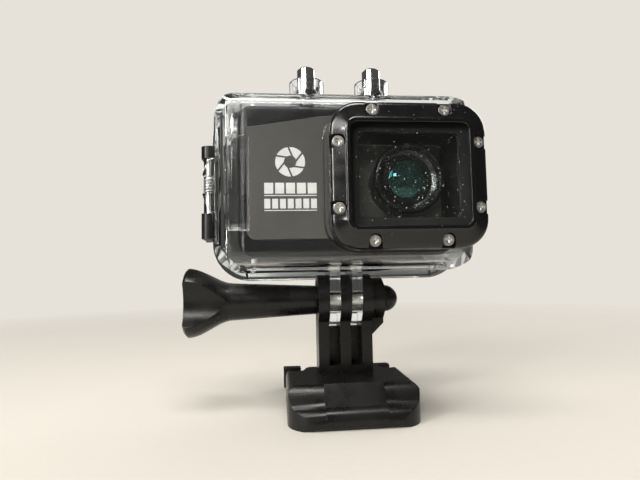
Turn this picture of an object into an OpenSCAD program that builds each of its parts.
// Action camera in a clear dive housing, on a tilting stand with a long thumb screw.
// Millimetres. +X is the object's right as seen from the front, +Y runs to the back, +Z is up.
// The origin is on the underside of the foot, straight below the tilt axis.

/* [Stand] */
// Height of the tilt axis over the underside of the foot
axis_z = 30; // [28:0.5:40]
// Width of the foot
foot_w = 34; // [30:0.5:42]
// Reach of the foot in front of the tilt axis
foot_front = 22.6; // [18:0.2:28]
// Reach of the foot behind the tilt axis
foot_back = 21; // [18:0.5:28]
// Thickness of the foot
foot_h = 10; // [8:0.5:12]
// Radius of the rounded ends of the mount fingers
ear_r = 7.2; // [6:0.1:8.7]
// Thickness of one mount finger
finger_t = 3; // [2.5:0.1:3.6]
// Space between two fingers of the stand
finger_gap = 3.2; // [2.8:0.1:4]
// Depth of the arm, front to back
arm_d = 8.8; // [7:0.2:11]

/* [Thumb screw] */
// Radius of the bolt shank
bolt_r = 2.44; // [2:0.02:3]
// Distance from the stand's middle to the outer end of the knob
knob_reach = 44.8; // [40:0.2:54]
// Length of the flared knob
knob_len = 13; // [10:0.5:16]
// Radius of the knob at its outer end
knob_r = 9.85; // [8:0.05:12]
// Radius of the sleeve where it meets the knob
neck_r = 5.3; // [4.4:0.1:6.2]
// Radius of the sleeve where it meets the stand
sleeve_r = 4.1; // [3.6:0.1:4.4]

/* [Camera body] */
// Width of the camera body
cam_w = 59; // [50:0.5:71]
// Height of the camera body
cam_h = 41; // [36:0.5:50]
// Depth of the camera body
cam_d = 20.8; // [20:0.2:25]
// Radius of the camera's rounded corners
cam_r = 5; // [3:0.5:7]
// Thickness of the camera's own shell
cam_wall = 1.4; // [1:0.1:1.8]
// Radius of the lens barrel
lens_r = 9.4; // [8:0.1:10]
// Reach of the lens barrel in front of the camera body
lens_reach = 7.8; // [6.6:0.1:8.5]

/* [Housing] */
// Wall of the clear housing
wall = 2.6; // [2.2:0.1:3.1]
// Space between the camera's side and the housing wall
side_gap = 3.9; // [3:0.1:5]
// Space over and under the camera
height_gap = 1.85; // [1.7:0.05:2.6]
// Radius of the housing's corners seen from the front
case_r = 9; // [7.5:0.5:11]
// Radius of the housing's front edges
case_edge = 6.4; // [3:0.2:7]
// Width of the flange round the housing's back
flange_w = 2.3; // [1.8:0.1:3]
// Thickness of the back door
door_t = 3.4; // [2.8:0.1:4.2]

/* [Lens port] */
// Distance of the lens port from the middle of the housing
port_x = 14.2; // [12:0.1:15]
// Width of the black bezel
bezel_w = 40.2; // [38:0.2:42]
// Height of the black bezel
bezel_h = 37.2; // [35:0.2:40]
// Radius of the bezel's corners
bezel_r = 7.5; // [5:0.5:9]
// Depth of the bezel, front to back
bezel_d = 7; // [6:0.1:8.4]
// Width of the window that shows inside the bezel
window_w = 30.1; // [28:0.1:31]
// Height of the window that shows inside the bezel
window_h = 25.8; // [24:0.1:27]
// Thickness of the flat window
glass_t = 2; // [1.6:0.1:2.4]
// Radius of a bezel screw's head
screw_head_r = 1.45; // [1.2:0.05:1.6]

/* [Buttons and latch] */
// Distance between the two top buttons
button_pitch = 19.6; // [16:0.2:24]
// Radius of a top button's metal cap
cap_r = 2.7; // [2.2:0.1:3.2]
// Travel of a top button
cap_travel = 1.2; // [0.8:0.1:1.3]
// Height of a top button over the housing
cap_height = 10.6; // [9:0.2:12]
// Height of the latch
latch_h = 27; // [25:0.5:32]
// Radius of the latch pin and of the hinge pin
pin_r = 1; // [0.8:0.05:1.2]

/* [Hidden] */
$fn = 64;
eps = 0.01;
slip = 0.1;             // gap between pieces that only touch
run = 0.06;             // radial gap between a shaft and its bore

// Stand and mount fingers
finger_pitch = finger_t + finger_gap;
stand_w = 3 * finger_t + 2 * finger_gap;
case_finger_t = finger_gap - 2 * slip;
arm_front = -arm_d * 0.43;
arm_back = arm_front + arm_d;
ear_clear = 0.8;
shoulder_r = 2.6;       // rounding along the foot's top edges
nose_top = foot_h * 0.47;
nose_r = 3.2;           // rounding along the nose
nose_run = 7.8;         // length of the slope behind the nose
step_run = 6.1;         // flat step in front of the arm, behind the nose
tongue_w = foot_w - 15;
tongue_h = foot_h - 3.6;
clip_t = 3.4;
clip_h = tongue_h - 1.4;
clip_z = 0.8;
clip_x = foot_w / 2 - 3.4;
clip_root_y = 3.2;
clip_root_r = 1.9;
clip_back = foot_back - 0.4;
clip_slot = 0.15;       // gap round a clip's root
tab_out = 0.5;          // how far a clip's finger tab stands out beside the foot

// Thumb screw and its nut
nut_af = 8 + 2 * (bolt_r - 2.44);
nut_x = stand_w / 2 + 0.5;
nut_hex = 4;
boss_r = nut_af / 2 + 2.2;
boss_x = nut_x + 3;
head_af = nut_af;
head_t = 3.5;
knob_end = -knob_reach;
sleeve_end = -stand_w / 2 - slip;
cap_depth = 1.2;

// Housing box
case_w = cam_w + 2 * (side_gap + wall);
case_h = cam_h + 2 * (height_gap + wall);
case_z0 = axis_z + ear_r + ear_clear;
case_cz = case_z0 + case_h / 2;
case_top = case_z0 + case_h;
cam_front = -11.8;
cam_back = cam_front + cam_d;
cam_edge = 2;
case_front = cam_front - slip - wall;
seam_y = cam_back + 1;
flange_d = 4.5;
cavity_edge = max(0.5, case_edge - wall - 0.6);
door_front = seam_y + 0.2;
door_back = door_front + door_t;
door_edge = 0.9;
rim_w = case_w + 2 * flange_w;
rim_h = case_h + 2 * flange_w;
rim_r = case_r + flange_w;
seal_in = 1.2;
seal_w = 1.6;

// Lens port: the window sits in front of a clear tube and under the bezel's lip
port_z = case_cz - 1;
port_lip = 0.7;
port_face = case_front - 4;
bezel_front = port_face - bezel_d;
lip_t = 0.6;
glass_front = bezel_front + lip_t;
glass_back = glass_front + glass_t;
gasket_t = 0.8;
tube_front = glass_back + gasket_t;
glass_w = window_w + 1.5;
glass_h = window_h + 1.5;
tube_in_w = window_w - 4.5;
tube_in_h = window_h - 4.6;
bevel_d = 2.4;
screw_in = 2.2;
screw_x = bezel_w / 2 - screw_in;
screw_z = bezel_h / 2 - screw_in;
screw_row = bezel_w * 0.23;
screw_column = bezel_h * 0.223;
screw_seat = bezel_front + 2.9;
screw_shank_r = 0.8;
screw_len = screw_seat + 6.5;

// Lens
lens_x = port_x + 1;
lens_z = port_z;
lens_front = cam_front - lens_reach;
lens_glass_r = 5.8;

// Top buttons: a cap on a stem, its spring in the boss, its seal in the wall
button_y = cam_front + cam_d / 2;
cavity_top = case_top - wall;
stem_r = 1.2;
stem_guide = 0.8;       // height of the close bore under the seal
gland_r = 1.9;          // bore that the seal slides in
oring_r = 0.48;
oring_z = cavity_top + stem_guide + cap_travel + oring_r + run;
spring_seat = oring_z + oring_r + 0.3;
cap_bottom = spring_seat + cap_travel + 0.15;
boss_top = cap_bottom + 1.4;
cap_top = case_top + cap_height;
cap_roof = 3.4;         // solid top of the hollow cap
guard_r = cap_r + 2.4;
guard_top = case_top + 6.2;
guard_t = 0.9;
clip_gap = 0.2;
clip_ring_t = 0.42;
cam_top = case_cz + cam_h / 2;
cam_z0 = cam_top - cam_h;
cam_button_r = 3;
cam_button_top = cam_top + 0.2;
cam_button_travel = cap_travel / 2;
stem_tip = cam_button_top + cap_travel - cam_button_travel + 0.05;

// Latch on the left side
latch_x = -rim_w / 2 - 0.3;
latch_y = 1;
knuckle_r = 2.3;
latch_cz = case_cz - 1.2;
latch_z0 = latch_cz - latch_h / 2;
latch_top = latch_cz + latch_h / 2;
lug_cz = case_cz + 0.7;
lug_h = 15.6;
lug_out = 1.8;
lug_y = 3.5;
lug_notch = 5.2;
hook_in = 1.6;

// Door hinge on the right side
hinge_gap = 0.3;
hinge_x = rim_w / 2 + knuckle_r + hinge_gap;
hinge_y = door_front + door_t / 2;
hinge_h = 26;
hinge_knuckle = 6;

left_block_x = -case_w / 2 + 4;
left_block_w = 5.9;

// ---------------------------------------------------------------- shared shapes

// Rectangle with round corners, centred
module round_rect(w, h, r) {
    square([w - 2 * r, h], center = true);
    square([w, h - 2 * r], center = true);
    for (x = [-1, 1], z = [-1, 1])
        translate([x * (w / 2 - r), z * (h / 2 - r)]) circle(r);
}

// Upright plate with round corners, from depth y0 to depth y1, centred on X and Z
module upright(w, h, r, y0, y1) {
    translate([0, y1, 0]) rotate([90, 0, 0]) linear_extrude(y1 - y0) round_rect(w, h, r);
}

// Outline of a depth and a span whose two front corners have radius e
module front_rounded(span, depth, e) {
    translate([e, -span / 2]) square([depth - e, span]);
    translate([0, -span / 2 + e]) square([depth, span - 2 * e]);
    for (side = [-1, 1]) translate([e, side * (span / 2 - e)]) circle(e);
}

// Upright plate whose front edges are rounded as well as its corners
module soft_box(w, h, r, e, y0, y1) {
    intersection() {
        upright(w, h, r, y0, y1);
        translate([-w, y0, 0]) rotate([90, 0, 90]) linear_extrude(2 * w) front_rounded(h, y1 - y0, e);
        translate([0, y0, -h]) rotate([0, 0, 90]) linear_extrude(2 * h) front_rounded(w, y1 - y0, e);
    }
}

// Cylinder along X from x0 to x1
module rod_x(r, x0, x1) {
    translate([x0, 0, 0]) rotate([0, 90, 0]) cylinder(r = r, h = x1 - x0);
}

// Cylinder along Y from y0 to y1
module rod_y(r, y0, y1) {
    translate([0, y1, 0]) rotate([90, 0, 0]) cylinder(r = r, h = y1 - y0);
}

// Hexagonal bar along X, measured across its flats
module hex_x(across_flats, x0, x1) {
    translate([x0, 0, 0]) rotate([0, 90, 0])
        cylinder(r = across_flats / sqrt(3), h = x1 - x0, $fn = 6);
}

// Ring of square section around Z
module ring(r_out, r_in, z0, z1) {
    difference() {
        translate([0, 0, z0]) cylinder(r = r_out, h = z1 - z0);
        translate([0, 0, z0 - 1]) cylinder(r = r_in, h = z1 - z0 + 2);
    }
}

// Ring of square section around Y
module ring_y(r_out, r_in, y0, y1) {
    difference() {
        rod_y(r_out, y0, y1);
        rod_y(r_in, y0 - 1, y1 + 1);
    }
}

// Coil spring around Z, swept as a tube of 8 sides
function coil_point(t, r, pitch) = [r * cos(360 * t), r * sin(360 * t), pitch * t];
module coil(r, wire, turns, height) {
    sides = 8;
    per_turn = 14;
    steps = turns * per_turn;
    pitch = (height - 2 * wire) / turns;
    points = [for (i = [0:steps], j = [0:sides - 1])
        let (t = i / per_turn, a = 360 * j / sides, p = coil_point(t, r + wire * cos(a), pitch))
        [p[0], p[1], p[2] + wire + wire * sin(a)]];
    faces = concat(
        [[for (j = [0:sides - 1]) j]],
        [for (i = [0:steps - 1], j = [0:sides - 1])
            let (a = i * sides + j, b = i * sides + (j + 1) % sides)
            [a, a + sides, b + sides, b]],
        [[for (j = [sides - 1:-1:0]) steps * sides + j]]
    );
    polyhedron(points, faces, convexity = 10);
}

module at_axis() { translate([0, 0, axis_z]) children(); }
module at_case() { translate([0, 0, case_cz]) children(); }
module at_port() { translate([port_x, 0, port_z]) children(); }
module at_lens() { translate([lens_x, 0, lens_z]) children(); }
module at_button(side) { translate([side * button_pitch / 2, button_y, 0]) children(); }
module at_latch() { translate([latch_x, latch_y, 0]) children(); }
module at_hinge() { translate([hinge_x, hinge_y, latch_cz]) children(); }
module at_bezel_screws() {
    for (s = [-1, 1], t = [-1, 1]) {
        translate([s * screw_row, 0, t * screw_z]) children();
        translate([s * screw_x, 0, t * screw_column]) children();
    }
}

// ---------------------------------------------------------------- stand

// Side view of one finger of the stand: a round ear on a straight arm
module stand_finger_outline() {
    translate([0, axis_z]) circle(ear_r);
    translate([arm_front, foot_h - 2]) square([arm_d, axis_z - foot_h + 2]);
}

// Side view of the foot with a rounded nose; lift raises the slope behind the nose
module foot_outline(lift, flat) {
    steps = 10;
    nose_y = -foot_front + nose_r;
    slope_back = -foot_front + nose_run;
    top = foot_h - 0.5 + lift;
    rise = top - nose_top - lift;
    slope = [for (i = [1:steps]) let (t = i / steps)
        [nose_y + t * (slope_back - nose_y), nose_top + lift + rise * sin(90 * t)]];
    chamfer = [[-foot_front + step_run, top]];
    polygon(concat(
        [[-foot_front + 0.8, 0], [-foot_front, 0.8]],
        [for (i = [0:steps]) let (a = 180 - 80 * i / steps)
            [nose_y + nose_r * cos(a), nose_top + lift - nose_r + nose_r * sin(a)]],
        flat ? chamfer : slope,
        [[foot_back, top], [foot_back, 0]]
    ));
}

module foot_bar(w, lift, flat) {
    translate([-w / 2, 0, 0]) rotate([90, 0, 90]) linear_extrude(w) foot_outline(lift, flat);
}

// Wide front half of the foot, with rounded plan and rounded top edges
module foot_front_half() {
    long = foot_front + clip_root_y + clip_root_r;
    plan_r = 7;
    intersection() {
        foot_bar(foot_w, 0, false);
        translate([0, -foot_front, -1]) linear_extrude(foot_h + 2) union() {
            translate([-foot_w / 2 + plan_r, 0]) square([foot_w - 2 * plan_r, long]);
            translate([-foot_w / 2, plan_r]) square([foot_w, long - plan_r]);
            for (side = [-1, 1]) translate([side * (foot_w / 2 - plan_r), plan_r]) circle(plan_r);
        }
        translate([0, foot_back, 0]) rotate([90, 0, 0]) linear_extrude(2 * foot_front + foot_back) union() {
            translate([-foot_w / 2, -1]) square([foot_w, foot_h - 0.5 - shoulder_r + 1]);
            translate([-foot_w / 2 + shoulder_r, -1]) square([foot_w - 2 * shoulder_r, foot_h + 2]);
            for (side = [-1, 1])
                translate([side * (foot_w / 2 - shoulder_r), foot_h - 0.5 - shoulder_r]) circle(shoulder_r);
        }
    }
}

// Room that a release clip needs beside the tongue, and its root's socket
module clip_room(side) {
    slot = clip_t + 1.6;
    translate([side * clip_x, clip_root_y, -1]) {
        cylinder(r = clip_root_r + clip_slot, h = foot_h + 2);
        translate([-slot / 2, 0, 0]) cube([slot, clip_root_r + 1, foot_h + 2]);
    }
}

module stand_foot() {
    rail_w = 2.4;
    rail_h = 1.8;
    rail_z = 2.6;
    recess_d = 1.5;
    web_t = 3.4;
    sill = 1.6;
    color([0.07, 0.07, 0.07])
    difference() {
        union() {
            foot_front_half();
            // raised strip along the middle, from the arm's step to the nose
            intersection() {
                foot_bar(stand_w, 0.35, true);
                translate([-foot_w, -foot_front, -1]) cube([2 * foot_w, foot_front + arm_back, foot_h + 2]);
            }
            // tongue between the two clips
            translate([-tongue_w / 2, 0, 0]) rotate([90, 0, 90]) linear_extrude(tongue_w)
                polygon([[0, 0], [foot_back, 0], [foot_back, tongue_h], [arm_back + 4, tongue_h + 1.2],
                    [arm_back, foot_h - 0.5], [0, foot_h - 0.5]]);
            for (k = [-1, 0, 1])
                translate([k * finger_pitch - finger_t / 2, 0, 0]) rotate([90, 0, 90])
                    linear_extrude(finger_t) stand_finger_outline();
            // web that joins the three fingers behind their grooves
            translate([-stand_w / 2, arm_back - web_t, foot_h - 1])
                cube([stand_w, web_t, axis_z - ear_r - foot_h]);
            translate([-stand_w / 2, arm_front, foot_h - 1]) cube([stand_w, arm_d, sill + 1]);
            // boss for the nut, with a brace under it
            at_axis() rod_x(boss_r, stand_w / 2 - 1, boss_x);
            translate([stand_w / 2 - 1, 3, axis_z - boss_r - 5]) rotate([90, 0, 0]) linear_extrude(6)
                polygon([[0, 0], [boss_x - stand_w / 2 + 1, 4.4], [boss_x - stand_w / 2 + 1, 6.4], [0, 6.4]]);
        }
        at_axis() rod_x(bolt_r + run, -stand_w, stand_w);
        at_axis() hex_x(nut_af + 0.1, nut_x - 0.05, stand_w);
        clip_room(-1);
        clip_room(1);
        // rails that the foot slides on
        for (side = [-1, 1])
            translate([side * foot_w / 2, 0, rail_z])
                cube([rail_w, 2 * (foot_front - 7), rail_h], center = true);
        // shallow recess in the underside
        translate([-stand_w / 2 - 3, -foot_front + 4, -recess_d])
            cube([stand_w + 6, foot_front - 6, 2 * recess_d]);
    }
}

// One squeezable side clip with its barb and its ribbed finger tab
module release_clip(side) {
    length = clip_back - clip_root_y;
    tab_l = 3.4;
    tab_w = foot_w / 2 + tab_out - clip_x;
    color([0.08, 0.08, 0.08])
    translate([side * clip_x, clip_root_y, clip_z])
    mirror([side > 0 ? 0 : 1, 0, 0])
    difference() {
        union() {
            cylinder(r = clip_root_r, h = clip_h);
            translate([-clip_t / 2, 0, 0]) cube([clip_t, length, clip_h]);
            // barb that catches in a base plate
            linear_extrude(clip_h - 2)
                polygon([[clip_t / 2 - 0.5, length - 10], [clip_t / 2 + 1.5, length - 5.6],
                    [clip_t / 2 - 0.5, length - 5.6]]);
            translate([-clip_t / 2, length - tab_l, 0]) cube([clip_t / 2 + tab_w, tab_l, clip_h + 1.2]);
        }
        for (k = [0:2])
            translate([tab_w, length - tab_l + 0.8 + 0.9 * k, -1]) cylinder(r = 0.3, h = clip_h + 4, $fn = 16);
    }
}

// Domed nut: a hexagon with a round cap, threaded from the inside
module tilt_nut() {
    dome_r = nut_af / 2 - 0.15;
    color([0.2, 0.2, 0.21])
    at_axis() difference() {
        union() {
            hex_x(nut_af, nut_x, nut_x + nut_hex);
            translate([nut_x + nut_hex, 0, 0]) sphere(dome_r);
        }
        rod_x(bolt_r + run, nut_x - 1, nut_x + nut_hex + dome_r - 1.2);
    }
}

// ---------------------------------------------------------------- thumb screw

// Radius of the knob at a share t of the way from its neck to its rim: an S curve
function flare(t) = neck_r + (knob_r - neck_r) * t * t * (3 - 2 * t);

module thumb_knob() {
    steps = 12;
    rim = 0.8;
    start = knob_end + rim;
    neck = start + knob_len - rim;
    scallop_r = 10;
    scallop_floor = knob_r * 0.56;
    outline = concat(
        [[0, knob_end], [knob_r - rim, knob_end]],
        [for (i = [steps:-1:0]) [flare(i / steps), neck - (i / steps) * (neck - start)]],
        [[sleeve_r, sleeve_end], [0, sleeve_end]]
    );
    color([0.09, 0.09, 0.09])
    at_axis() difference() {
        rotate([0, 90, 0]) rotate_extrude() polygon(outline);
        for (a = [0, 120, 240])
            rotate([a, 0, 0]) translate([0, -scallop_floor - scallop_r, 0])
                rod_x(scallop_r, knob_end - 1, neck + 1);
        rod_x(bolt_r + run / 2, knob_end - 1, sleeve_end + 1);
        hex_x(head_af + run, knob_end + cap_depth, knob_end + cap_depth + head_t);
        rod_x(head_af / sqrt(3) + 0.4, knob_end - 1, knob_end + cap_depth);
    }
}

module thumb_bolt() {
    head = knob_end + cap_depth;
    color([0.62, 0.62, 0.64])
    at_axis() {
        hex_x(head_af, head, head + head_t);
        rod_x(bolt_r, head + head_t - eps, nut_x + nut_hex + 1.6);
    }
}

module knob_cap() {
    color([0.1, 0.1, 0.1])
    at_axis() rod_x(head_af / sqrt(3) + 0.35, knob_end + 0.2, knob_end + cap_depth);
}

// ---------------------------------------------------------------- clear housing

// One finger of the housing, between two fingers of the stand
module case_finger(side) {
    translate([side * finger_pitch / 2 - case_finger_t / 2, 0, 0]) {
        at_axis() rod_x(ear_r, 0, case_finger_t);
        translate([0, -ear_r, axis_z]) cube([case_finger_t, 2 * ear_r, case_z0 - axis_z + 0.5]);
    }
}

// Cone that guides a top button, inside an open guard ring
module button_boss() {
    taper = 2.4;
    translate([0, 0, cavity_top + 0.5]) cylinder(r = cap_r + 1.3, h = boss_top - taper - cavity_top - 0.5);
    translate([0, 0, boss_top - taper - eps]) cylinder(r1 = cap_r + 1.3, r2 = cap_r + 0.6, h = taper + eps);
    ring(guard_r, guard_r - guard_t, case_top - 1, guard_top);
}

module button_bore() {
    translate([0, 0, spring_seat]) cylinder(r = cap_r + 0.12, h = cap_height);
    translate([0, 0, cavity_top + stem_guide]) cylinder(r = gland_r, h = 5);
    translate([0, 0, cavity_top - 1]) cylinder(r = stem_r + run, h = 5);
}

// Rounded ear that carries the latch pin
module latch_lug() {
    outer = lug_out + 0.9;
    sag_r = (lug_h * lug_h / 4 + outer * outer) / (2 * outer) + 1.2;
    difference() {
        intersection() {
            translate([latch_x - lug_out + sag_r, latch_y, lug_cz]) rod_y(sag_r, -lug_y, lug_y);
            translate([latch_x - lug_out - 1, latch_y - lug_y - 1, lug_cz - lug_h / 2])
                cube([lug_out + 5, 2 * lug_y + 2, lug_h]);
        }
        // notch where the spring shows
        translate([latch_x - 5, latch_y - 8, lug_cz - lug_notch / 2]) cube([5 + knuckle_r, 16, lug_notch]);
    }
}

// A knuckle on the housing's flange, for the door's hinge pin
module hinge_knuckle(z) {
    arm_y = seam_y - flange_d + 1 - hinge_y;
    arm_x = -knuckle_r - hinge_gap - 1;
    at_hinge() translate([0, 0, z]) {
        cylinder(r = knuckle_r, h = hinge_knuckle);
        translate([arm_x, arm_y, 0]) cube([knuckle_r - arm_x, seam_y - hinge_y - arm_y, hinge_knuckle]);
        translate([0, arm_y, 0]) cube([knuckle_r, -arm_y, hinge_knuckle]);
    }
}

// Thick clear block on the front's left side, cut at a slant on top
module left_block() {
    out = 2.6;
    back = out + 1.2;
    slant = 2.4;
    high = latch_h - 1;
    translate([left_block_x + left_block_w, case_front - out, latch_z0 + 1])
        rotate([0, -90, 0]) linear_extrude(left_block_w)
            polygon([[2, 0], [high - slant, 0], [high, back], [0, back], [0, 2], [0.6, 0.6]]);
}

// Thin ribs that hold the camera clear of the housing wall
module locating_ribs() {
    rib_t = 1;
    for (x = [-cam_w / 2 + 3.4, cam_w / 2 - 1.6 - rib_t], side = [-1, 1])
        translate([x, cam_front + 4, side > 0 ? cam_top + slip : case_z0 + wall - eps])
            cube([rib_t, cam_d - 6, height_gap - slip + eps]);
    for (x = [-1, 1], z = [-1, 1])
        translate([x > 0 ? cam_w / 2 + slip : -case_w / 2 + wall - eps, cam_front + 4, case_cz + z * 11 - rib_t / 2])
            cube([side_gap - slip + eps, cam_d - 6, rib_t]);
}

module front_case() {
    color([0.85, 0.88, 0.9, 0.35]) {
        difference() {
            union() {
                at_case() soft_box(case_w, case_h, case_r, case_edge, case_front, seam_y);
                at_case() upright(rim_w, rim_h, rim_r, seam_y - flange_d, seam_y);
                at_port() upright(bezel_w + 2 * port_lip, bezel_h + 2 * port_lip, bezel_r + port_lip,
                    port_face, case_front + 1);
                at_port() upright(glass_w - 0.2, glass_h - 0.2, 2, tube_front, case_front + 1);
                for (side = [-1, 1]) case_finger(side);
                for (side = [-1, 1]) at_button(side) button_boss();
                latch_lug();
                hinge_knuckle(-hinge_h / 2);
                hinge_knuckle(hinge_h / 2 - hinge_knuckle);
                left_block();
            }
            at_case() soft_box(case_w - 2 * wall, case_h - 2 * wall, case_r - wall, cavity_edge,
                case_front + wall, seam_y + 1);
            at_port() upright(tube_in_w, tube_in_h, 1.5, tube_front - 1, case_front + wall + 1);
            at_port() at_bezel_screws() rod_y(screw_shank_r - 0.05, port_face - 1, screw_len + 0.4);
            at_axis() rod_x(bolt_r + run, -stand_w, stand_w);
            for (side = [-1, 1]) at_button(side) button_bore();
            at_latch() translate([0, 0, latch_z0 - 2]) cylinder(r = pin_r, h = latch_h + 4);
            at_hinge() translate([0, 0, -hinge_h / 2 - 1]) cylinder(r = pin_r, h = hinge_h + 2);
        }
        locating_ribs();
    }
}

module port_gasket() {
    color([0.04, 0.04, 0.04])
    at_port() difference() {
        upright(glass_w - 0.2, glass_h - 0.2, 2, glass_back, tube_front);
        upright(tube_in_w + 0.4, tube_in_h + 0.4, 1.5, glass_back - 1, tube_front + 1);
    }
}

module port_window() {
    color([0.8, 0.86, 0.85, 0.3])
    at_port() upright(glass_w - 0.1, glass_h - 0.1, 2, glass_front, glass_back);
}

// Square frame that clamps the window: its face slopes from the window down to the rim
module lens_bezel() {
    color([0.05, 0.05, 0.05])
    at_port() difference() {
        union() {
            upright(bezel_w, bezel_h, bezel_r, bezel_front + bevel_d, port_face);
            hull() {
                upright(window_w + 1.6, window_h + 1.6, 2.6, bezel_front, bezel_front + 0.2, $fn = 32);
                upright(bezel_w - 3.4, bezel_h - 3.4, bezel_r - 1.7, bezel_front + 1.1, bezel_front + 1.3, $fn = 32);
                upright(bezel_w, bezel_h, bezel_r, bezel_front + bevel_d, bezel_front + bevel_d + 0.2, $fn = 32);
            }
        }
        upright(window_w, window_h, 2, bezel_front - 1, port_face + 1);
        upright(glass_w, glass_h, 2, glass_front, port_face + 1);
        at_bezel_screws() rod_y(screw_head_r + 0.25, bezel_front - 2, screw_seat);
        at_bezel_screws() rod_y(screw_shank_r + 0.1, bezel_front, port_face + 1);
        // open side of each screw pocket
        for (s = [-1, 1], t = [-1, 1]) {
            translate([s * screw_row, 0, t * (screw_z + screw_in)])
                cube([2 * screw_head_r + 0.5, 2 * (screw_seat - bezel_front) + 60, 2 * screw_in], center = true);
            translate([s * (screw_x + screw_in), 0, t * screw_column])
                cube([2 * screw_in, 2 * (screw_seat - bezel_front) + 60, 2 * screw_head_r + 0.5], center = true);
        }
    }
}

// Cross-head screws that hold the bezel on the port
module bezel_screws() {
    head_t = 1.3;
    color([0.75, 0.74, 0.72])
    at_port() at_bezel_screws() difference() {
        union() {
            rod_y(screw_head_r, screw_seat - head_t, screw_seat);
            rod_y(screw_shank_r - 0.1, screw_seat - eps, screw_len);
        }
        for (a = [0, 90])
            rotate([0, a, 0]) translate([0, screw_seat - head_t, 0]) cube([1.7, 1.2, 0.35], center = true);
    }
}

// ---------------------------------------------------------------- latch and door

module latch_pin() {
    color([0.7, 0.7, 0.72])
    at_latch() translate([0, 0, latch_z0 + 0.6]) cylinder(r = pin_r - 0.02, h = latch_h - 1.2);
}

module latch_spring() {
    wire = 0.3;
    color([0.72, 0.72, 0.74])
    translate([latch_x, latch_y, lug_cz - lug_notch / 2 + 0.2])
        coil(pin_r + wire + 0.15, wire, 5, lug_notch - 0.4);
}

// Lever that wraps round to the back and hooks over the door
module side_latch() {
    arm_t = 2.2;
    hook_y = door_back + 0.15;
    hook_t = 2.2;
    hook_tip = -rim_w / 2 + hook_in;
    arm_x = latch_x - knuckle_r;
    lug_room = lug_h + 0.6;
    color([0.08, 0.08, 0.08])
    difference() {
        union() {
            at_latch() translate([0, 0, latch_z0]) cylinder(r = knuckle_r, h = latch_h);
            translate([arm_x, latch_y, latch_z0]) cube([arm_t, hook_y + hook_t - latch_y, latch_h]);
            translate([arm_x, hook_y, latch_z0])
                cube([hook_tip - arm_x, hook_t, latch_h]);
            // finger ridge at the back edge
            translate([arm_x, hook_y + hook_t - 0.4, latch_z0]) cylinder(r = 1, h = latch_h);
        }
        // room for the lug, all the way round the pin
        at_latch() translate([0, 0, lug_cz - lug_room / 2]) cylinder(r = lug_y + 1, h = lug_room);
        at_latch() translate([0, 0, latch_z0 - 1]) cylinder(r = pin_r + run, h = latch_h + 2);
    }
}

module door_hinge_pin() {
    color([0.7, 0.7, 0.72])
    at_hinge() translate([0, 0, -hinge_h / 2 + 0.3]) cylinder(r = pin_r - 0.02, h = hinge_h - 0.6);
}

module back_door() {
    knuckle_h = hinge_h - 2 * hinge_knuckle - 2 * hinge_gap;
    arm = knuckle_r + hinge_gap + 1;
    rib_t = 1.2;
    color([0.85, 0.88, 0.9, 0.35])
    difference() {
        union() {
            at_case() mirror([0, 1, 0]) soft_box(rim_w, rim_h, rim_r, door_edge, -door_back, -door_front);
            at_hinge() translate([0, 0, -knuckle_h / 2]) {
                cylinder(r = knuckle_r, h = knuckle_h);
                translate([-arm, -door_t / 2, 0]) cube([arm, door_t - door_edge, knuckle_h]);
            }
            // ribs that press on the camera's back
            for (z = [-1, 1])
                translate([-cam_w / 2 + 8, cam_back + slip, case_cz + z * 12])
                    cube([cam_w - 16, door_front - cam_back, rib_t]);
        }
        at_case() seal_ring(door_front - 1, door_front + 1.05, 0.05);
        at_hinge() translate([0, 0, -hinge_h]) cylinder(r = pin_r + run, h = 2 * hinge_h);
    }
}

// Square loop of the door's seal, from depth y0 to depth y1, thickened by grow
module seal_ring(y0, y1, grow) {
    out = seal_in - grow;
    in = seal_in + seal_w + grow;
    difference() {
        upright(rim_w - 2 * out, rim_h - 2 * out, rim_r - out, y0, y1);
        upright(rim_w - 2 * in, rim_h - 2 * in, rim_r - in, y0 - 1, y1 + 1);
    }
}

module door_seal() {
    color([0.9, 0.9, 0.9])
    at_case() seal_ring(seam_y + 0.02, door_front + 1, 0);
}

// ---------------------------------------------------------------- top buttons

clip_top = cavity_top - clip_gap;

module button_cap(side) {
    bevel = 0.6;
    hollow_r = cap_r - 0.45;
    color([0.78, 0.78, 0.8])
    at_button(side) difference() {
        union() {
            ring(cap_r, hollow_r, cap_bottom, cap_top - cap_roof + eps);
            translate([0, 0, cap_top - cap_roof]) cylinder(r = cap_r, h = cap_roof - bevel);
            translate([0, 0, cap_top - bevel - eps]) cylinder(r1 = cap_r, r2 = cap_r - bevel, h = bevel + eps);
            translate([0, 0, stem_tip]) cylinder(r = stem_r, h = cap_top - cap_roof - stem_tip + eps);
        }
        ring(stem_r + 0.2, 0.85, oring_z - oring_r - run, oring_z + oring_r + run);
        ring(stem_r + 0.2, 0.9, clip_top - clip_ring_t - 0.08, clip_top);
    }
}

module button_oring(side) {
    color([0.05, 0.05, 0.05])
    at_button(side) translate([0, 0, oring_z])
        rotate_extrude() translate([gland_r - oring_r - run, 0]) circle(oring_r);
}

module button_clip(side) {
    color([0.6, 0.6, 0.62])
    at_button(side) difference() {
        ring(2.3, 0.92, clip_top - clip_ring_t - 0.04, clip_top - 0.04);
        translate([-0.7, 0, clip_top - 1]) cube([1.4, 4, 2]);
    }
}

module button_spring(side) {
    wire = 0.22;
    color([0.7, 0.7, 0.72])
    at_button(side) translate([0, 0, spring_seat + 0.02])
        coil(cap_r - 0.45 - wire - 0.15, wire, 6, cap_top - cap_roof - spring_seat - 0.04);
}

// ---------------------------------------------------------------- camera

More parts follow.
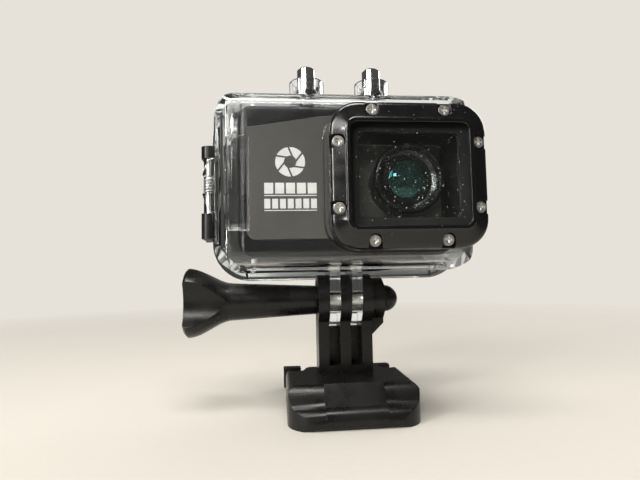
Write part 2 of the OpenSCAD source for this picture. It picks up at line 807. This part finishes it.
// The whole camera block, before it is split into two shells
module camera_block(inset) {
    at_case() translate([0, cam_front + cam_d / 2, 0]) {
        intersection() {
            upright(cam_w - 2 * inset, cam_h - 2 * inset, cam_r - inset / 2,
                -cam_d / 2 + inset, cam_d / 2 - inset);
            translate([0, 0, -cam_h / 2]) linear_extrude(cam_h)
                round_rect(cam_w - 2 * inset, cam_d - 2 * inset, 3 - inset / 2);
            translate([-cam_w / 2, 0, 0]) rotate([90, 0, 90]) linear_extrude(cam_w)
                round_rect(cam_d - 2 * inset, cam_h - 2 * inset, cam_edge - inset / 2);
        }
    }
}

split_y = cam_front + cam_d * 0.52;
plate_t = 0.8;
plate_left = -cam_w / 2 + 2.6;
plate_right = port_x + lens_r + 2.6;
bay_w = 26;             // battery bay
bay_x = -cam_w / 2 + 7.2;
bay_y = cam_front + 9.9;
bay_d = cam_d - 13.8;
socket_x = 12;
socket_y = split_y + 4.4;
socket_r = 4;
flap_y = cam_front + 9;
flap_h = 12;
side_key_h = 7;
side_key_pitch = 10;

// Outline of the grey plate on the camera's face, widened by grow; its top edge rises to the right
module plate_outline(grow) {
    low = -cam_h / 2 + 4.4 - grow;
    high = cam_h / 2 - 6.2 + grow;
    left = plate_left - grow;
    right = plate_right + grow;
    polygon([
        [left + 1.5, low], [right, low], [right, high + 4.4],
        [plate_left + 20, high + 3.2], [left, high], [left, low + 1.5]
    ]);
}

module front_plate_solid(grow) {
    at_case() translate([0, cam_front + plate_t, 0]) rotate([90, 0, 0])
        linear_extrude(plate_t + grow) plate_outline(grow);
}

module at_camera_side() { translate([-cam_w / 2, cam_front + 6, case_cz]) children(); }
module at_shell_screws() {
    for (x = [-1, 1], z = [-1, 1])
        translate([x * (cam_w / 2 - 5), 0, case_cz + z * (cam_h / 2 - 4.6)]) children();
}

module top_key_holes() {
    for (side = [-1, 1])
        at_button(side) translate([0, 0, cam_top - 4]) cylinder(r = cam_button_r + slip, h = 6);
}

module flap_opening() {
    translate([cam_w / 2 - 3, flap_y, case_cz - flap_h / 2]) cube([5, cam_back - 3 - flap_y, flap_h]);
}

module battery_opening(grow) {
    translate([bay_x - grow, split_y + 0.6 - grow, cam_z0 - 1])
        cube([bay_w + 2 * grow, 6 + 2 * grow, cam_wall + 1 + grow]);
}

module camera_front_shell() {
    boss_r2 = 2;
    color([0.06, 0.06, 0.06])
    difference() {
        union() {
            difference() {
                camera_block(0);
                camera_block(cam_wall);
                translate([-cam_w, split_y, 0]) cube([2 * cam_w, cam_d, 2 * case_top]);
            }
            at_shell_screws() rod_y(boss_r2, cam_front + 0.5, cam_back - cam_wall - 0.6);
        }
        front_plate_solid(slip);
        at_lens() rod_y(lens_r - 1.2, cam_front - 1, cam_front + 3);
        top_key_holes();
        flap_opening();
        at_camera_side() for (z = [-1, 1])
            translate([-5, -1.5 - slip, z * side_key_pitch / 2 - side_key_h / 2 - slip])
                cube([5 + 2 * cam_wall, 3 + 2 * slip, side_key_h + 2 * slip]);
        at_shell_screws() rod_y(0.8, cam_back - 6, cam_back);
    }
}

module camera_rear_shell() {
    color([0.07, 0.07, 0.07])
    difference() {
        camera_block(0);
        camera_block(cam_wall);
        translate([-cam_w, split_y - 2 * cam_d + 0.03, 0]) cube([2 * cam_w, 2 * cam_d, 2 * case_top]);
        at_case() upright(46.2, 30.2, 1.5, cam_back - 0.9, cam_back + 1);
        at_case() upright(42, 26, 1, cam_back - 4, cam_back + 1);
        top_key_holes();
        flap_opening();
        battery_opening(slip);
        tripod_socket(slip);
        at_shell_screws() rod_y(1.5, cam_back - 1, cam_back + 1);
        at_shell_screws() rod_y(0.85, cam_back - 6, cam_back + 1);
    }
}

module front_plate() {
    color([0.27, 0.26, 0.25])
    difference() {
        front_plate_solid(0);
        at_lens() rod_y(lens_r - 1.2, cam_front - 1, cam_front + 3);
    }
}

// Plain printed mark: a ring of six blades over two rows of blocks, each row with a thin rule
module front_emblem() {
    mark_w = 14;
    row_gap = 0.5;
    rule_t = 0.25;
    mark_x = plate_left + 11.6;
    mark_z = case_cz + 4.8;
    mark_t = 0.06;
    color([0.9, 0.9, 0.88])
    translate([mark_x, cam_front, mark_z]) rotate([90, 0, 0]) linear_extrude(mark_t) {
        difference() {
            circle(4);
            circle(1.7);
            for (a = [0:60:300])
                rotate(a) translate([1.7, 0]) rotate(52) square([5, 0.5]);
        }
        for (row = [[5, -8.6, 2.9], [7, -12.6, 2.6]]) {
            block_w = (mark_w + row_gap) / row[0] - row_gap;
            for (k = [0:row[0] - 1])
                translate([-mark_w / 2 + k * (block_w + row_gap), row[1]]) square([block_w, row[2]]);
            translate([-mark_w / 2, row[1] - 0.4 - rule_t]) square([mark_w, rule_t]);
        }
    }
}

sensor_y = cam_front + 5.4;
rear_seat_r = 4.45;

module lens_barrel() {
    lens_seat_r = lens_glass_r + 0.05;
    stop = lens_reach - 7.3;
    color([0.05, 0.05, 0.05])
    at_lens() translate([0, cam_front, 0]) rotate([90, 0, 0]) rotate_extrude()
        polygon([
            [rear_seat_r, cam_front - sensor_y], [lens_r - 2.4, cam_front - sensor_y], [lens_r - 2.4, -1.5],
            [lens_r - 1.3, -1.5], [lens_r - 1.3, 0.05], [lens_r, 0.05], [lens_r, lens_reach - 0.7],
            [lens_r - 0.7, lens_reach], [lens_r - 1.3, lens_reach], [lens_r - 1.9, lens_reach - 1.6],
            [lens_glass_r + 0.6, lens_reach - 2.4], [lens_glass_r + 0.6, lens_reach - 3.2],
            [lens_seat_r, lens_reach - 3.2], [lens_seat_r, stop], [rear_seat_r, stop]
        ]);
}

module lens_trim_ring() {
    color([0.5, 0.5, 0.5])
    at_lens() translate([0, cam_front, 0]) rotate([90, 0, 0])
        ring(lens_glass_r + 0.55, lens_glass_r - 0.5, lens_reach - 3.15, lens_reach - 2.3);
}

// Lens element: a slice of a sphere on a short drum
module lens_element(r, y_front, bulge, thick) {
    ball = (r * r + bulge * bulge) / (2 * bulge);
    at_lens() intersection() {
        translate([0, y_front + ball, 0]) sphere(ball);
        rod_y(r, y_front - 1, y_front + thick);
    }
}

module front_lens() {
    color([0.25, 0.35, 0.32, 0.5])
    lens_element(lens_glass_r, lens_front + 1.9, 1.7, 4.2);
}

module rear_lens() {
    color([0.3, 0.4, 0.4, 0.5])
    lens_element(rear_seat_r - 0.05, lens_front + 7.6, 1, 2.4);
}

module aperture_ring() {
    color([0.03, 0.03, 0.03])
    at_lens() translate([0, lens_front + 6.3, 0]) ring_y(lens_glass_r, 2.4, 0, 0.8);
}

module sensor_board() {
    board = [22, 1, 20];
    chip = [7, 0.7, 5.4];
    color([0.08, 0.25, 0.14])
    translate([lens_x, sensor_y + slip, lens_z]) {
        translate([0, chip[1] / 2, 0]) cube(chip, center = true);
        translate([0, chip[1] + board[1] / 2 - eps, 0]) cube(board, center = true);
    }
}

module main_board() {
    board_y = bay_y - slip - 1;
    chip_d = 0.7;
    color([0.06, 0.22, 0.12]) {
        translate([-27, board_y, case_cz - 6]) cube([53, 1, 19]);
        translate([-8, board_y - chip_d + eps, case_cz + 1]) cube([10, chip_d, 10]);
        translate([-22, board_y - chip_d + eps, case_cz - 3]) cube([8, chip_d, 8]);
    }
}

module battery() {
    color([0.15, 0.25, 0.5])
    translate([bay_x + 0.4, bay_y, cam_z0 + cam_wall + 0.3]) cube([bay_w - 0.8, bay_d, 27]);
}

module battery_door() {
    color([0.08, 0.08, 0.08])
    translate([bay_x, split_y + 0.6, cam_z0]) cube([bay_w, 6, cam_wall]);
}

module rear_screen() {
    color([0.02, 0.03, 0.05])
    at_case() upright(41.6, 25.6, 0.8, cam_back - 3.6, cam_back - 0.9);
}

module screen_cover() {
    color([0.03, 0.03, 0.04])
    at_case() upright(46, 30, 1.4, cam_back - 0.85, cam_back - 0.05);
}

module memory_card() {
    color([0.05, 0.05, 0.06])
    translate([cam_w / 2 - 18, flap_y + 2.4, case_cz - 5.5]) cube([15, 1, 11]);
}

module side_port_cover() {
    color([0.1, 0.1, 0.1])
    translate([cam_w / 2 - cam_wall, flap_y + slip, case_cz - flap_h / 2 + slip])
        cube([cam_wall - 0.05, cam_back - 3 - flap_y - 2 * slip, flap_h - 2 * slip]);
}

module tripod_socket(grow) {
    translate([socket_x, socket_y, cam_z0 - grow]) cylinder(r = socket_r + grow, h = 4.4 + 2 * grow);
}

module tripod_insert() {
    color([0.75, 0.6, 0.3])
    difference() {
        tripod_socket(0);
        translate([socket_x, socket_y, cam_z0 - 1]) cylinder(r = socket_r - 0.8, h = 5);
    }
}

module shell_screws() {
    color([0.5, 0.5, 0.5])
    at_shell_screws() {
        rod_y(1.4, cam_back - 1, cam_back - 0.2);
        rod_y(0.8, cam_back - 5, cam_back - 1 + eps);
    }
}

module microphone() {
    color([0.6, 0.6, 0.55])
    translate([-22, cam_front + 3.2, cam_top - 4.4]) cube([4, 1, 3]);
}

module speaker() {
    inside = cam_front + cam_wall;
    color([0.15, 0.15, 0.15])
    translate([-14, 0, cam_z0 + 8]) rod_y(3.6, inside + slip, inside + 2.4);
}

module status_light() {
    color([0.2, 0.4, 0.9])
    translate([0, cam_front + 4, cam_top - cam_wall - 1.4]) cylinder(r = 0.9, h = 1.2);
}

// Round key on top of the camera, with a flange that stops it under the shell
module camera_top_button(side) {
    flange_t = 0.7;
    under = cam_top - cam_wall - 0.05;
    color([0.5, 0.5, 0.52])
    at_button(side) {
        translate([0, 0, under - flange_t]) cylinder(r = cam_button_r + 0.5, h = flange_t);
        translate([0, 0, under - eps]) cylinder(r = cam_button_r, h = cam_button_top - under + eps);
    }
}

// Small oblong key on the camera's left side
module camera_side_button(z) {
    color([0.12, 0.12, 0.12])
    at_camera_side() translate([-0.5, -1.5, z * side_key_pitch / 2 - side_key_h / 2])
        cube([cam_wall + 1, 3, side_key_h]);
}

// ---------------------------------------------------------------- nodes

stand_foot();
release_clip(-1);  // release_clip_left
release_clip(1);  // release_clip_right
tilt_nut();
thumb_knob();
thumb_bolt();
knob_cap();
front_case();
port_gasket();
port_window();
lens_bezel();
bezel_screws();
latch_pin();
latch_spring();
side_latch();
door_hinge_pin();
back_door();
door_seal();
button_cap(-1);  // shutter_cap
button_oring(-1);  // shutter_oring
button_clip(-1);  // shutter_clip
button_spring(-1);  // shutter_spring
button_cap(1);  // power_cap
button_oring(1);  // power_oring
button_clip(1);  // power_clip
button_spring(1);  // power_spring
camera_front_shell();
camera_rear_shell();
front_plate();
front_emblem();
lens_barrel();
lens_trim_ring();
front_lens();
rear_lens();
aperture_ring();
sensor_board();
main_board();
battery();
battery_door();
rear_screen();
screen_cover();
memory_card();
side_port_cover();
tripod_insert();
shell_screws();
microphone();
speaker();
status_light();
camera_top_button(-1);  // camera_shutter_button
camera_top_button(1);  // camera_power_button
camera_side_button(1);  // camera_up_button
camera_side_button(-1);  // camera_down_button
